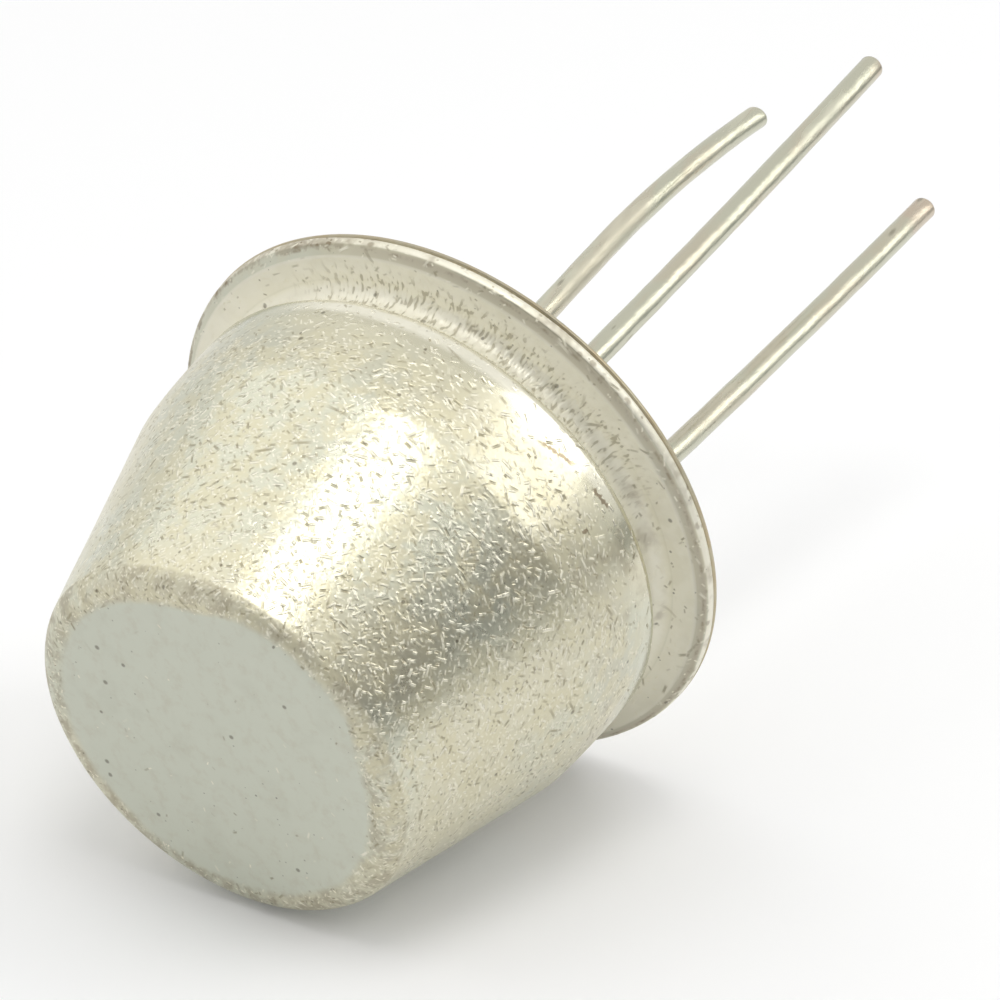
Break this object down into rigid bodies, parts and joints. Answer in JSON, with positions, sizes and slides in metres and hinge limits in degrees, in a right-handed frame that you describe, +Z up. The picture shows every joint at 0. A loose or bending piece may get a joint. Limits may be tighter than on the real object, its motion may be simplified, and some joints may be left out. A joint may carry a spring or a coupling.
{
  "type": "germanium transistor",
  "caption": "Power transistor in a hat-shaped plated can: flanged rim, waisted neck, tapered cap with a flat end, and tinned wire leads through glass beads.",
  "frame": {"origin": "on the surface it lies on, under the middle of the box round the whole device", "axes": "+Z up; +X from the lead tips to the flat end of the cap as the device lies on its side; +Y to the left of somebody looking along +X. The can's own axis lies in the XZ plane, its cap end 13.9 degrees below +X."},
  "size_m": [0.0334, 0.0164, 0.0161],
  "materials": {
    "can": "dull nickel-plated steel, densely scuffed and pitted",
    "header": "dull plated steel",
    "bead_glass": "dark sealing glass",
    "lead": "tinned wire with uneven solder",
    "braze": "silver-coloured braze fillet",
    "copper": "bare copper",
    "indium": "soft grey indium",
    "germanium": "etched dark grey crystal",
    "nickel": "plain nickel"
  },
  "bodies": {
    "root": {"cap": "can", "header": "header", "base_bead": "bead_glass", "emitter_bead": "bead_glass", "base_lead": "lead", "emitter_lead": "lead", "collector_lead": "lead", "collector_braze": "braze", "crystal_holder": "copper", "collector_pellet": "indium", "germanium_wafer": "germanium", "emitter_pellet": "indium", "base_ring": "nickel", "emitter_strap": "nickel", "base_strap": "nickel"}
  },
  "joints": []
}
